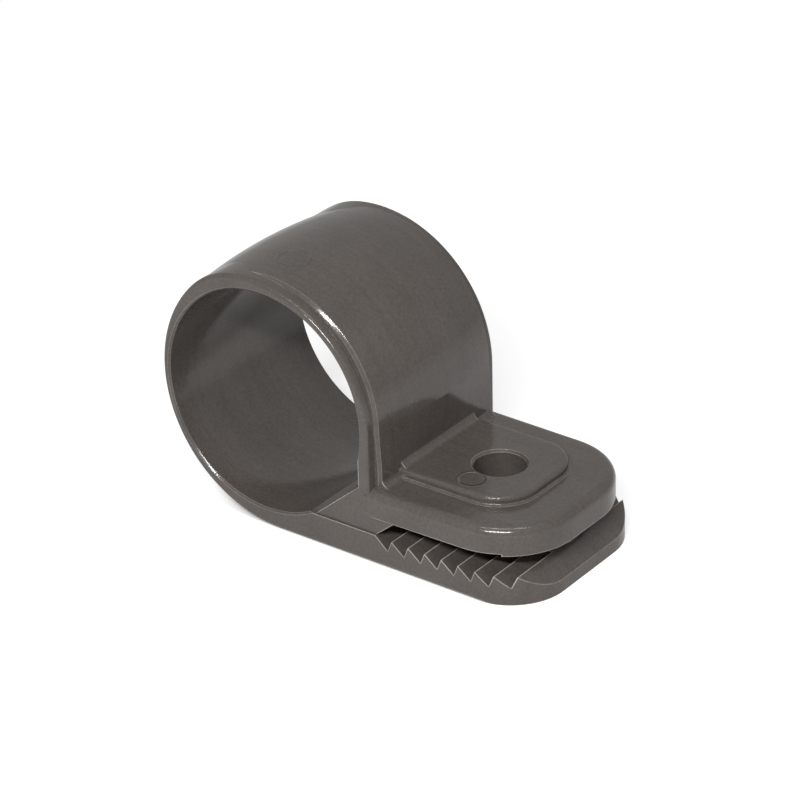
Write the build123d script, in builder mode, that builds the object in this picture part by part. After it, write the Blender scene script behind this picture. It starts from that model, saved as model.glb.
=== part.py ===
from build123d import *
from math import acos, atan2, degrees, hypot, radians, sqrt, tan
import os

# Pipe saddle: a one-piece moulded ratchet clip. The pipe axis is Y through the origin, the tabs
# point along +X and the clip stands on its flat foot, with +Z up. All sizes are in millimetres.

# Ring
bore_radius = 15.0
width = 26.8
base_wall = 2.45
back_wall = 1.05
back_swell = 2.85
front_swell = 2.7
front_drop = 1.04
crown_blend = 12.0
bore_chamfer = 0.25
edge_round = min(0.55, 0.55 * back_wall)

# Side wall and raised belt
wall_inset = 0.2
wall = 1.5
rim = 1.5
belt_edge_rise = 1.75
belt_crown_rise = 2.6
belt_depth = 0.5
belt_chamfer = 0.35
belt_flat_rise = 2.1
belt_flat_bow = 0.05
fade_swell = 4.35
fade_wall = 0.9
fade_lift = 0.6

# Foot with its ratchet teeth
land_height = 4.1
heel_step = 0.85
tooth_pitch = 2.5
tooth_count = 8
tooth_flank = 0.6
tooth_drop = 0.2
valley_height = 2.4
corner_radius = 7.75
tip_margin = 0.2

# Nose that closes the ring
nose_gap = 0.9
nose_angle = 40.5
heel_angle = 39.5
nose_recess = 0.25
bend_margin = 0.35
slit = 0.06
overlap = 1.0

# Upper tab, its pad and the screw way
tab_under = 6.4
tab_top = 9.9
tab_flush = 0.05
tab_taper = 0.5
tab_setback = 0.25
tab_corner = 9.8
tab_round = 1.3
lip_length = 4.7
lip_drop = 0.3
pad_top = 11.1
pad_half = 8.2
pad_reach = 17.5
pad_corner = 5.5
pad_round = 0.5
pad_foot = 0.25
root_cove = 1.1
screw_reach = 10.3
screw_dia = 6.6
screw_chamfer = 0.3
slot_travel = 3 * tooth_pitch

# Heights measured from the pipe axis
base_z = -bore_radius - base_wall
land_z = base_z + land_height
peak_z = land_z - tooth_drop
valley_z = base_z + valley_height
tooth_depth = peak_z - valley_z
under_z = base_z + tab_under
top_z = base_z + tab_top
pad_z = base_z + pad_top

# Places along X and across Y
half = width / 2
root_half = half - tab_flush
tab_half = root_half - tab_taper
belt_half = half - rim
wall_in = bore_radius - wall_inset
wall_out = wall_in + wall
land_end = wall_out + heel_step
foot_end = land_end + (tooth_count + 1) * tooth_pitch + tip_margin
tab_end = foot_end - tab_setback
lip_start = tab_end - lip_length
pad_end = wall_out + pad_reach
screw_x = wall_out + screw_reach
tooth_slope = tooth_depth / (tooth_pitch - tooth_flank)
last_peak = land_end + tooth_count * tooth_pitch
end_z = peak_z - tooth_slope * (foot_end - last_peak)
heel_top = land_end + (under_z - land_z) / tan(radians(heel_angle))

# The nose starts a little past the line where the bore meets the foot and slopes up to the wall
land_start = sqrt(bore_radius**2 - land_z**2)
nose_tip = land_start + nose_gap
nose_z = land_z + (wall_in - nose_tip) * tan(radians(nose_angle))
strap_bend = nose_z - under_z - bend_margin

# The ring's outline is three arcs: one hugs the back and rests on the base, one hugs the front and runs
# into the side wall, and a smaller one joins them over the crown. A round disc ends the belt at the back.
back_radius = bore_radius + back_swell
back_center = (back_swell - back_wall, back_radius + base_z)
front_radius = bore_radius + front_swell
front_center = (wall_out - front_radius, -front_drop)
back_gap = back_radius - crown_blend
front_gap = front_radius - crown_blend
offset_x = back_center[0] - front_center[0]
offset_z = back_center[1] - front_center[1]
centers_apart = hypot(offset_x, offset_z)
lean = acos((front_gap**2 + centers_apart**2 - back_gap**2) / (2 * front_gap * centers_apart))
front_angle = degrees(atan2(offset_z, offset_x) + lean)
crown_center = Vector(*front_center) + Vector(front_gap, 0).rotate(Axis.Z, front_angle)
back_angle = degrees(atan2(crown_center.Y - back_center[1], crown_center.X - back_center[0]))
fade_radius = bore_radius + fade_swell
fade_center = (fade_swell - fade_wall, fade_lift)
belt_flat = bore_radius + belt_flat_rise

# Upper tab: a block with rounded plan corners, a soft top edge, a lip under its end and a raised pad
with BuildPart() as tab:
    tab_start = (wall_in + wall_out) / 2
    with BuildSketch(Plane.XY.offset(under_z)) as plan:
        with BuildLine():
            Polyline(
                (tab_start, -root_half),
                (tab_end, -tab_half),
                (tab_end, tab_half),
                (tab_start, root_half),
                close=True,
            )
        make_face()
        fillet(plan.vertices().group_by(Axis.X)[-1], tab_corner)
    extrude(amount=top_z - under_z)
    top_rim = tab.faces().sort_by(Axis.Z)[-1].edges()
    fillet(top_rim.sort_by(Axis.X)[1:], tab_round)
    with BuildSketch(Plane.XY.offset(under_z)):
        add(plan.sketch)
        with Locations((lip_start / 2, 0)):
            Rectangle(lip_start, width, mode=Mode.SUBTRACT)
    extrude(amount=-lip_drop)
    with BuildSketch(Plane.XY.offset(top_z - overlap)):
        with Locations((pad_end / 2, 0)):
            RectangleRounded(pad_end, 2 * pad_half, pad_corner)
        with Locations((tab_start / 2, 0)):
            Rectangle(tab_start, width, mode=Mode.SUBTRACT)
    extrude(amount=pad_z - top_z + overlap)
    seat = tab.edges().filter_by_position(Axis.Z, top_z - 0.01, top_z + 0.01)
    seat = seat.filter_by(lambda e: e.center().X < pad_end + 0.1 and abs(e.center().Y) < pad_half + 0.1)
    chamfer(seat.filter_by(lambda e: e.center().X > tab_start + 0.1), pad_foot)
    pad_rim = tab.faces().sort_by(Axis.Z)[-1].edges()
    fillet(pad_rim.sort_by(Axis.X)[1:], pad_round)


def belt_section(edge, crown):
    """Cross-section of the belt at one place: flat inside, bowed outside, with two broken edges."""
    with BuildSketch() as section:
        with BuildLine():
            Polyline(
                (edge, -belt_half),
                (bore_radius + belt_depth, -belt_half),
                (bore_radius + belt_depth, belt_half),
                (edge, belt_half),
            )
            ThreePointArc((edge, belt_half), (crown, 0), (edge, -belt_half))
        make_face()
        chamfer(section.vertices().group_by(Axis.X)[-1], belt_chamfer)
    return section.sketch


# Raised belt between the two rims: barrel-shaped over the crown, nearly flat at the foot of the side
# wall, and sinking into the thin strap at the back
with BuildPart() as belt:
    barrel = belt_section(bore_radius + belt_edge_rise, bore_radius + belt_crown_rise)
    flat = belt_section(belt_flat, belt_flat + belt_flat_bow)
    with BuildSketch():
        add(barrel)
    with BuildSketch(Plane.XY.offset(pad_z + root_cove)):
        add(flat)
    loft()
    with BuildSketch(Plane.XY.offset(pad_z + root_cove)):
        add(flat)
    extrude(amount=under_z - pad_z - root_cove)
    revolve(barrel, axis=Axis.Y, revolution_arc=-180)
    with BuildSketch(Plane.XZ):
        with Locations(fade_center):
            Circle(fade_radius)
    extrude(amount=half, both=True, mode=Mode.INTERSECT)

with BuildPart() as saddle:
    # Side profile of ring, wall, nose and foot
    with BuildSketch(Plane.XZ) as profile:
        with BuildLine():
            CenterArc(front_center, front_radius, 0, front_angle)
            CenterArc(crown_center, crown_blend, front_angle, back_angle - front_angle)
            CenterArc(back_center, back_radius, back_angle, 270 - back_angle)
            teeth = [(foot_end, end_z)]
            for k in range(tooth_count, 0, -1):
                x = land_end + k * tooth_pitch
                teeth += [(x, peak_z), (x - tooth_flank, valley_z)]
            Polyline(
                (back_center[0], base_z),
                (foot_end, base_z),
                *teeth,
                (land_end, land_z),
                (heel_top, under_z),
                (wall_out, under_z),
                (wall_out, front_center[1]),
            )
        make_face()
        Circle(bore_radius, mode=Mode.SUBTRACT)
        with BuildLine():
            Polyline(
                (0, 0),
                (wall_in, 0),
                (wall_in, nose_z),
                (nose_tip, land_z),
                (land_start - nose_gap / 2, land_z),
                close=True,
            )
        make_face(mode=Mode.SUBTRACT)
        with Locations(((nose_tip + land_end) / 2, land_z + slit / 2)):
            Rectangle(land_end - nose_tip + nose_gap, slit, mode=Mode.SUBTRACT)
    extrude(amount=half, both=True)
    for side in (saddle.faces().sort_by(Axis.Y)[0], saddle.faces().sort_by(Axis.Y)[-1]):
        arcs = side.edges().filter_by(GeomType.CIRCLE)
        fillet(arcs.filter_by(lambda e: e.radius > (bore_radius + front_radius) / 2), edge_round)
    for side in (saddle.faces().sort_by(Axis.Y)[0], saddle.faces().sort_by(Axis.Y)[-1]):
        arcs = side.edges().filter_by(GeomType.CIRCLE)
        chamfer(arcs.filter_by(lambda e: abs(e.radius - bore_radius) < 0.01), bore_chamfer)

    # Rounded plan corners of the foot
    with BuildSketch(Plane.XY.offset(base_z)):
        with Locations((foot_end / 2, 0)):
            Rectangle(foot_end, width)
            RectangleRounded(foot_end, width, corner_radius, mode=Mode.SUBTRACT)
        Rectangle(foot_end, width, mode=Mode.SUBTRACT)
    extrude(amount=land_height, mode=Mode.SUBTRACT)

    # The nose stands back a little at both ends, so the strap's bend into the tab shows on the side
    for place in (half - nose_recess, -half):
        with BuildSketch(Plane.XZ.offset(place)):
            with BuildLine():
                Polyline(
                    (wall_in, under_z + strap_bend),
                    (wall_in, nose_z),
                    (wall_in - nose_gap / 2, nose_z),
                    (nose_tip - nose_gap / 2, land_z),
                    (land_end + overlap / 2, land_z),
                    (heel_top + overlap / 2, under_z),
                    (wall_in + strap_bend, under_z),
                )
                RadiusArc((wall_in + strap_bend, under_z), (wall_in, under_z + strap_bend), -strap_bend)
            make_face()
        extrude(amount=nose_recess, mode=Mode.SUBTRACT)

    add(belt.part)
    add(tab.part)

    # Coves where the tab's border and its pad run up into the side wall
    for level, reach in ((top_z, tab_half - tab_round), (pad_z, pad_half - pad_round)):
        with BuildSketch(Plane.XZ):
            with BuildLine():
                Polyline(
                    (belt_flat, level + root_cove),
                    (wall_out, level + root_cove),
                    (wall_out, level - overlap / 2),
                    (belt_flat + root_cove, level - overlap / 2),
                    (belt_flat + root_cove, level),
                )
                RadiusArc((belt_flat + root_cove, level), (belt_flat, level + root_cove), root_cove)
            make_face()
        extrude(amount=reach, both=True)

    # Mating teeth under the upper tab, set in from its edges
    with BuildSketch(Plane.XZ):
        with BuildLine():
            jaw_end = land_end + (tooth_count - 1) * tooth_pitch
            jaw = [(jaw_end, under_z)]
            for k in range(tooth_count - 1, 2, -1):
                x = land_end + k * tooth_pitch
                jaw += [(x - tooth_flank, under_z - tooth_depth), (x - tooth_pitch, under_z)]
            Polyline(
                *jaw,
                (land_end + 2 * tooth_pitch, under_z + overlap),
                (jaw_end, under_z + overlap),
                close=True,
            )
        make_face()
    extrude(amount=pad_half, both=True)

    # Screw way: a round hole through the pad and a slot through the foot
    with Locations((screw_x, 0, pad_z)):
        Hole(screw_dia / 2, pad_top - tab_under + tooth_depth)
    lip = saddle.edges().filter_by(GeomType.CIRCLE).sort_by(Axis.Z)
    lip = lip.filter_by(lambda e: abs(e.radius - screw_dia / 2) < 0.01)
    chamfer(lip[-1], screw_chamfer)
    with BuildSketch(Plane.XY.offset(base_z)):
        with Locations((screw_x + slot_travel / 2, 0)):
            SlotCenterToCenter(slot_travel, screw_dia)
    extrude(amount=land_height, mode=Mode.SUBTRACT)

saddle.part.label = "pipe_saddle"
os.makedirs("parts", exist_ok=True)
export_step(saddle.part, "parts/pipe_saddle.step")
print("volume", saddle.part.volume, "solids", len(saddle.part.solids()))
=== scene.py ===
import math

import bpy
from mathutils import Matrix, Vector


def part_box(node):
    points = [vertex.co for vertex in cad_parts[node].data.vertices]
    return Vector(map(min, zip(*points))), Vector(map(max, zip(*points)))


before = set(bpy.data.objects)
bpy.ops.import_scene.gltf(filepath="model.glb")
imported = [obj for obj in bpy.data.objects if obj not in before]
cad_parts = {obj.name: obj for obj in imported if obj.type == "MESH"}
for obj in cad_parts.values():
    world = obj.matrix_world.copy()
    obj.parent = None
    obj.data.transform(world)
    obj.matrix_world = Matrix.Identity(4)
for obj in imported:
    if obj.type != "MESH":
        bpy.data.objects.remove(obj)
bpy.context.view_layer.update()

# Pipe saddle
# The whole clip is one injection moulding in warm dark grey plastic: ring, wall, screw tab and toothed foot.
# Its polished mould leaves a half-gloss skin with a fine grain, faint flow streaks and two shallow round
# marks where the mould's pins stood. Its outer edges are painted paler: partly rubbed wear, partly a painted
# highlight.
plastic_colour = (0.072, 0.0605, 0.053, 1.0)
plastic_streak_colour = (0.115, 0.0995, 0.089, 1.0)
# Painted highlight on the outer edges, partly rubbed wear: the pale colour mixed in there.
plastic_edge_highlight_colour = (0.520, 0.480, 0.445, 1.0)
plastic_gloss = 0.11
plastic_dull = 0.19
plastic_ior = 1.5
cloud_scale = 130.0
streak_scale = (70.0, 900.0, 70.0)
grain_scale = 2600.0
wave_scale = 420.0
streak_share = 0.4
grain_share = 0.45
gloss_grain_share = 0.35
edge_reach = 0.0003
soft_edge_share = 0.4
corner_reach = 0.0006
tab_root_place = (0.0156, 0.0134, -0.0093)
tab_root_reach = 0.0015
tab_root_fade_end = 0.0028
crown_mark_place = (0.00056, -0.00672, 0.01732)
crown_mark_radius = 0.0021
pad_mark_place = (0.02613, -0.00525, -0.00635)
pad_mark_radius = 0.00182
mark_ring_width = 0.0003
mark_sink = -0.5
mark_height = 0.00011
wave_height = 0.00002
grain_height = 0.000009


def plug(tree, slot, value):
    """Feeds a node's slot: a socket is linked to it, and a number, a vector or a colour is written in it."""
    if isinstance(value, bpy.types.NodeSocket):
        tree.links.new(value, slot)
    else:
        slot.default_value = value


def math_node(tree, operation, *values):
    """Works one operation, such as ADD, MULTIPLY or ABSOLUTE, on one or two values."""
    node = tree.nodes.new("ShaderNodeMath")
    node.operation = operation
    for slot, value in zip(node.inputs, values):
        plug(tree, slot, value)
    return node.outputs[0]


def vector_node(tree, operation, result, *vectors):
    """Works one operation on one or two vectors, such as their distance or dot product."""
    node = tree.nodes.new("ShaderNodeVectorMath")
    node.operation = operation
    for slot, vector in zip(node.inputs, vectors):
        plug(tree, slot, vector)
    return node.outputs[result]


def range_node(tree, value, start, end, low=0.0, high=1.0, eased=False):
    """Low plus the value's way from start to end, as a share, times high less low. It is held at both ends,
    and eased in and out where asked."""
    node = tree.nodes.new("ShaderNodeMapRange")
    node.interpolation_type = "SMOOTHSTEP" if eased else "LINEAR"
    plug(tree, node.inputs["Value"], value)
    for label, number in (("From Min", start), ("From Max", end), ("To Min", low), ("To Max", high)):
        node.inputs[label].default_value = number
    return node.outputs["Result"]


def mix_node(tree, kind, share, first, second):
    """The first value, vector or colour times one less the share, plus the second times the share."""
    node = tree.nodes.new("ShaderNodeMix")
    node.data_type = kind
    for label, value in (("Factor", share), ("A", first), ("B", second)):
        plug(tree, node.inputs[label], value)
    return node.outputs["Result"]


def noise_node(tree, where, scale, **settings):
    """Cloudy noise between 0 and 1 at a place, with the scale's number of lumps in a metre."""
    node = tree.nodes.new("ShaderNodeTexNoise")
    plug(tree, node.inputs["Vector"], where)
    node.inputs["Scale"].default_value = scale
    for label, number in settings.items():
        node.inputs[label].default_value = number
    return node.outputs["Fac"]


def mould_mark_group():
    """Height of a shallow round mark left by a mould pin: a thin raised ring where the distance from the
    centre equals the radius, falling off to nothing within the ring's half width, and a face sunk inside."""
    group = bpy.data.node_groups.new("mould_mark", "ShaderNodeTree")
    for label, kind in (("Place", "NodeSocketVector"), ("Centre", "NodeSocketVector"),
                        ("Radius", "NodeSocketFloat"), ("Ring Width", "NodeSocketFloat")):
        group.interface.new_socket(label, in_out="INPUT", socket_type=kind)
    group.interface.new_socket("Height", in_out="OUTPUT", socket_type="NodeSocketFloat")
    entry = group.nodes.new("NodeGroupInput")
    result = group.nodes.new("NodeGroupOutput")
    from_centre = vector_node(group, "DISTANCE", "Value", entry.outputs["Place"], entry.outputs["Centre"])
    past_radius = math_node(group, "SUBTRACT", from_centre, entry.outputs["Radius"])
    widths_past = math_node(group, "DIVIDE", past_radius, entry.outputs["Ring Width"])
    off_ring = math_node(group, "ABSOLUTE", widths_past)
    ring = range_node(group, off_ring, 1.0, 0.0, eased=True)
    sunk_face = range_node(group, widths_past, 0.0, -1.0, high=mark_sink, eased=True)
    plug(group, result.inputs["Height"], math_node(group, "ADD", ring, sunk_face))
    return group


plastic = bpy.data.materials.new("moulded_plastic")
plastic.use_nodes = True
tree = plastic.node_tree
skin = tree.nodes["Principled BSDF"]
skin.inputs["IOR"].default_value = plastic_ior
place = tree.nodes.new("ShaderNodeTexCoord").outputs["Object"]

# Soft clouds in the pigment, flow streaks that run round the ring and out along the tabs, and a fine speckle.
clouds = noise_node(tree, place, cloud_scale, Detail=5.0, Roughness=0.62)
drawn_out = tree.nodes.new("ShaderNodeMapping")
drawn_out.inputs["Scale"].default_value = streak_scale
plug(tree, drawn_out.inputs["Vector"], place)
streaks = noise_node(tree, drawn_out.outputs["Vector"], 1.0, Detail=3.0, Distortion=0.4)
grain = noise_node(tree, place, grain_scale, Detail=3.0)
drawn_clouds = mix_node(tree, "FLOAT", streak_share, clouds, streaks)
flow = mix_node(tree, "FLOAT", grain_share, drawn_clouds, grain)
flow_share = range_node(tree, flow, start=0.32, end=0.68)
pigment = mix_node(tree, "RGBA", flow_share, plastic_colour, plastic_streak_colour)

# Painted highlight on the outer edges, partly rubbed wear: a paler colour where the normal averaged over a
# small reach turns away from the face's own normal, but not in inner corners, which are shut in, nor at the
# tab's root, which runs into the ring's side faces.
rounded = tree.nodes.new("ShaderNodeBevel")
rounded.samples = 8
rounded.inputs["Radius"].default_value = edge_reach
rounded_normal = rounded.outputs["Normal"]
face_normal = tree.nodes.new("ShaderNodeNewGeometry").outputs["Normal"]
agreement = vector_node(tree, "DOT_PRODUCT", "Value", rounded_normal, face_normal)
edge = range_node(tree, agreement, start=0.98, end=0.80)
edge_breakup = range_node(tree, clouds, start=0.3, end=0.62, low=0.45)
axis_parts = tree.nodes.new("ShaderNodeSeparateXYZ")
plug(tree, axis_parts.inputs["Vector"], place)
one_side = tree.nodes.new("ShaderNodeCombineXYZ")
plug(tree, one_side.inputs["X"], axis_parts.outputs["X"])
plug(tree, one_side.inputs["Y"], math_node(tree, "ABSOLUTE", axis_parts.outputs["Y"]))
plug(tree, one_side.inputs["Z"], axis_parts.outputs["Z"])
from_root = vector_node(tree, "DISTANCE", "Value", one_side.outputs["Vector"], tab_root_place)
off_root = range_node(tree, from_root, tab_root_reach, tab_root_fade_end, eased=True)
openness = tree.nodes.new("ShaderNodeAmbientOcclusion")
openness.samples = 8
openness.only_local = True
openness.inputs["Distance"].default_value = corner_reach
outer_edge = range_node(tree, openness.outputs["AO"], start=0.65, end=0.92)
rubbed_edge_and_highlight = edge
for share in (edge_breakup, off_root, outer_edge):
    rubbed_edge_and_highlight = math_node(tree, "MULTIPLY", rubbed_edge_and_highlight, share)
edge_highlighted_pigment = mix_node(tree, "RGBA", rubbed_edge_and_highlight, pigment, plastic_edge_highlight_colour)
plug(tree, skin.inputs["Base Color"], edge_highlighted_pigment)

# The skin's gloss follows the flow, with a finer break-up over it.
dullness = mix_node(tree, "FLOAT", gloss_grain_share, flow_share, grain)
plug(tree, skin.inputs["Roughness"], range_node(tree, dullness, 0.0, 1.0, plastic_gloss, plastic_dull))

# Relief: slightly softened edges, the two round marks, a slow waviness from shrinkage, and the fine grain.
waves = noise_node(tree, place, wave_scale, Detail=1.0)
mark_group = mould_mark_group()
mark_heights = []
for mark_place, mark_radius in ((crown_mark_place, crown_mark_radius), (pad_mark_place, pad_mark_radius)):
    mark = tree.nodes.new("ShaderNodeGroup")
    mark.node_tree = mark_group
    plug(tree, mark.inputs["Place"], place)
    mark.inputs["Centre"].default_value = mark_place
    mark.inputs["Radius"].default_value = mark_radius
    mark.inputs["Ring Width"].default_value = mark_ring_width
    mark_heights.append(mark.outputs["Height"])
marks = math_node(tree, "ADD", *mark_heights)
softened = mix_node(tree, "VECTOR", soft_edge_share, face_normal, rounded_normal)
relief = vector_node(tree, "NORMALIZE", "Vector", softened)
for height, reach in ((marks, mark_height), (waves, wave_height), (grain, grain_height)):
    bump = tree.nodes.new("ShaderNodeBump")
    bump.inputs["Distance"].default_value = reach
    plug(tree, bump.inputs["Height"], height)
    plug(tree, bump.inputs["Normal"], relief)
    relief = bump.outputs["Normal"]
plug(tree, skin.inputs["Normal"], relief)

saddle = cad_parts["pipe_saddle"]
saddle.data.materials.clear()
saddle.data.materials.append(plastic)

# Floor
# A plain white table that runs out of view on every side and takes the clip's soft shadow.
# Its paint is lit like the clip, and a plain glow that only shows to the camera and the gloss makes it white,
# except where the clip covers it, under the screw's slot.
floor_reach = 2.0
floor_colour = (0.8, 0.8, 0.8, 1.0)
floor_dull = 0.9
floor_glow = 0.56
cover_reach = 0.01
background_gloss_share = 0.3
floor_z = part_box("pipe_saddle")[0].z
floor_mesh = bpy.data.meshes.new("floor")
floor_mesh.from_pydata(
    [(-floor_reach, -floor_reach, floor_z), (floor_reach, -floor_reach, floor_z),
     (floor_reach, floor_reach, floor_z), (-floor_reach, floor_reach, floor_z)],
    [], [(0, 1, 2, 3)])
floor = bpy.data.objects.new("floor", floor_mesh)
bpy.context.scene.collection.objects.link(floor)


def seen_rays(tree, gloss_share):
    """Gives 1 for camera and transmission rays, which show the background, the share for glossy rays, which
    show it dimmer in the plastic's skin, and 0 for the rays that only light the clip."""
    path = tree.nodes.new("ShaderNodeLightPath")
    seen = math_node(tree, "MULTIPLY", path.outputs["Is Glossy Ray"], gloss_share)
    for label in ("Is Camera Ray", "Is Transmission Ray"):
        seen = math_node(tree, "MAXIMUM", seen, path.outputs[label])
    return seen


floor_paint = bpy.data.materials.new("floor_paint")
floor_paint.use_nodes = True
paint_tree = floor_paint.node_tree
paint = paint_tree.nodes["Principled BSDF"]
paint.inputs["Base Color"].default_value = floor_colour
paint.inputs["Roughness"].default_value = floor_dull
paint.inputs["Specular IOR Level"].default_value = 0.0
sky_share = paint_tree.nodes.new("ShaderNodeAmbientOcclusion")
sky_share.samples = 8
sky_share.inputs["Distance"].default_value = cover_reach
uncovered_glow = range_node(paint_tree, sky_share.outputs["AO"], start=0.25, end=0.45, high=floor_glow)
glow = paint_tree.nodes.new("ShaderNodeEmission")
glow_strength = math_node(
    paint_tree, "MULTIPLY", seen_rays(paint_tree, background_gloss_share), uncovered_glow)
plug(paint_tree, glow.inputs["Strength"], glow_strength)
painted = paint_tree.nodes.new("ShaderNodeAddShader")
plug(paint_tree, painted.inputs[0], paint.outputs["BSDF"])
plug(paint_tree, painted.inputs[1], glow.outputs["Emission"])
plug(paint_tree, paint_tree.nodes["Material Output"].inputs["Surface"], painted.outputs["Shader"])
floor_mesh.materials.append(floor_paint)

# Studio light
# A pale room that looks white and lights at about a quarter of that, and two narrow strip lamps, one nearly
# overhead and one close above the camera, that leave the bright lines on the rounded corners.
room_colour = (1.0, 1.0, 1.0, 1.0)
room_light = 0.27
room_look = 1.0
world = bpy.data.worlds.new("studio")
bpy.context.scene.world = world
world.use_nodes = True
room_tree = world.node_tree
room = room_tree.nodes["Background"]
room.inputs["Color"].default_value = room_colour
seen_room = seen_rays(room_tree, background_gloss_share)
plug(room_tree, room.inputs["Strength"], range_node(room_tree, seen_room, 0.0, 1.0, room_light, room_look))


def strip_lamp(name, turn, height, reach, size, power):
    """Hangs a level strip lamp and aims it at the pipe axis. Its place is the reach times a direction: the
    turn in degrees from the clip's near side, and the height in degrees above the level."""
    turn, height = math.radians(turn), math.radians(height)
    data = bpy.data.lights.new(name, "AREA")
    data.shape = "RECTANGLE"
    data.size, data.size_y = size
    data.energy = power
    lamp = bpy.data.objects.new(name, data)
    level = math.cos(height)
    towards = Vector((math.sin(turn) * level, -math.cos(turn) * level, math.sin(height)))
    lamp.location = reach * towards
    lamp.rotation_euler = (-towards).to_track_quat("-Z", "Y").to_euler()
    bpy.context.scene.collection.objects.link(lamp)


strip_lamp("top_lamp", turn=37.0, height=74.0, reach=0.5, size=(0.36, 0.012), power=0.36)
strip_lamp("front_lamp", turn=25.0, height=38.0, reach=0.5, size=(0.27, 0.025), power=1.95)

# Camera
# The photograph's viewpoint: right of the pipe axis and above, with a long lens, and turned a little.
# The aim is a point above the foot's underside, given along the picture's own right and up.
azimuth = math.radians(37.41)
elevation = math.radians(27.68)
roll = math.radians(-1.5)
focal_pixels = 3150.0
picture_pixels = 800.0
sensor_mm = 36.0
aim_height = -0.017446
aim_right = 0.008721
aim_up = 0.010611
distance = 0.40765
level_back = Vector((math.sin(azimuth), -math.cos(azimuth), 0.0))
level_right = Vector((math.cos(azimuth), math.sin(azimuth), 0.0))
back = math.cos(elevation) * level_back + math.sin(elevation) * Vector((0.0, 0.0, 1.0))
level_up = back.cross(level_right)
right = math.cos(roll) * level_right + math.sin(roll) * level_up
up = math.cos(roll) * level_up - math.sin(roll) * level_right
camera_data = bpy.data.cameras.new("camera")
camera_data.sensor_width = sensor_mm
camera_data.lens = focal_pixels * sensor_mm / picture_pixels
camera = bpy.data.objects.new("camera", camera_data)
axes = Matrix((right, up, back)).transposed().to_4x4()
camera_place = Vector((0.0, 0.0, aim_height)) + aim_right * right + aim_up * up + distance * back
camera.matrix_world = Matrix.Translation(camera_place) @ axes
bpy.context.scene.collection.objects.link(camera)
bpy.context.scene.camera = camera

bpy.context.scene.view_settings.view_transform = "Standard"
